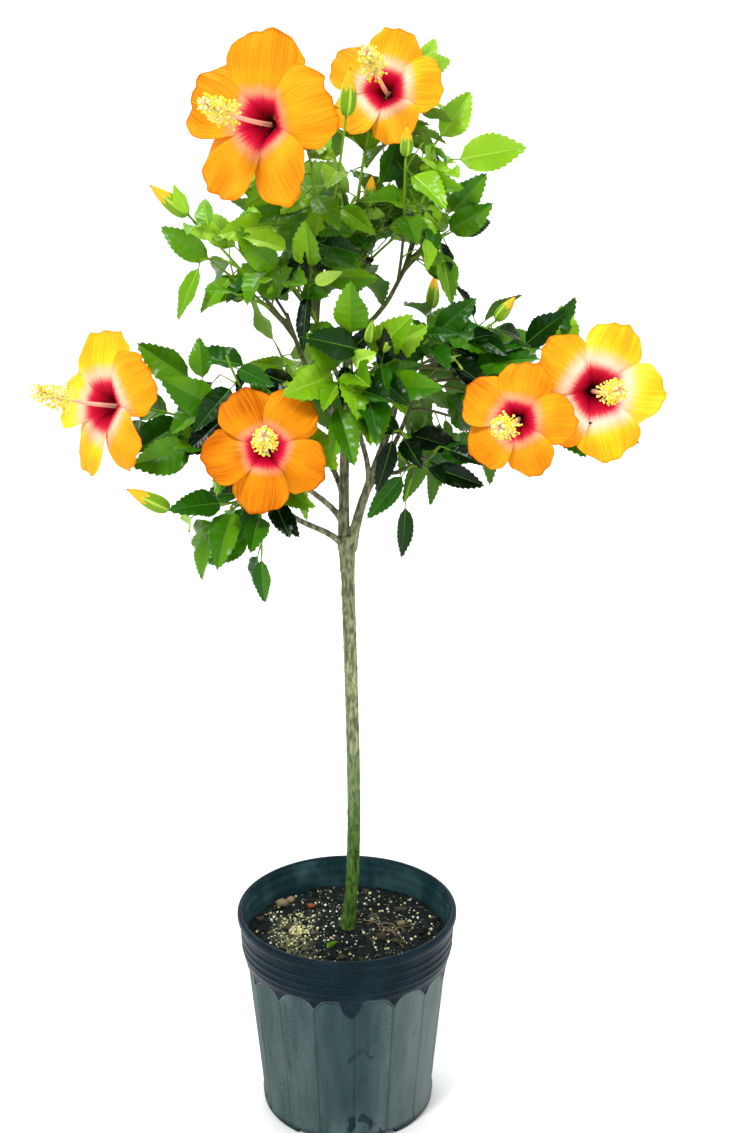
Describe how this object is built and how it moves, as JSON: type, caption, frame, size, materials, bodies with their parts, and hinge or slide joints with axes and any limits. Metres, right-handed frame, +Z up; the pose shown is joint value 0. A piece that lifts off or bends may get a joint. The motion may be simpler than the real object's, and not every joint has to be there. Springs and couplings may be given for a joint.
{
  "type": "hibiscus shrub",
  "caption": "Hibiscus grown as a standard in a round nursery pot: one bare trunk that forks into leafy boughs with wide orange blooms and buds.",
  "frame": {"origin": "middle of the pot's flat underside, on the surface that the plant stands on", "axes": "+Z up along the trunk, -Y towards the side that the plant shows, +X to the right seen from that side"},
  "size_m": [0.6265, 0.4576, 1.2237],
  "materials": {
    "pot_plastic": "thin moulded plastic, blue-black with a dull grey-green dust on the panels",
    "potting_mix": "coarse dark potting mix with pale perlite and bits of bark",
    "bark": "grey-olive bark, mossy green at the foot",
    "foliage": "glossy green leaves, with orange blooms and green buds"
  },
  "bodies": {
    "root": {"pot": "pot_plastic", "potting_mix": "potting_mix", "trunk": "bark", "bough_leader": "bark", "bough_right": "bark", "bough_left_low": "bark", "bough_left_mid": "bark", "bough_left_high": "bark", "bough_left_upright": "bark", "bough_right_low": "bark", "bough_right_high": "bark", "bough_front": "bark", "bough_back_left": "bark", "bough_back_right": "bark", "bough_back_high": "bark", "foliage_top": "foliage", "foliage_high_left": "foliage", "foliage_upper_left": "foliage", "foliage_left": "foliage", "foliage_lower_left": "foliage", "foliage_upper_right": "foliage", "foliage_right": "foliage", "foliage_lower_right": "foliage", "foliage_front": "foliage", "foliage_back_left": "foliage", "foliage_back_right": "foliage", "foliage_back_high": "foliage"}
  },
  "joints": []
}
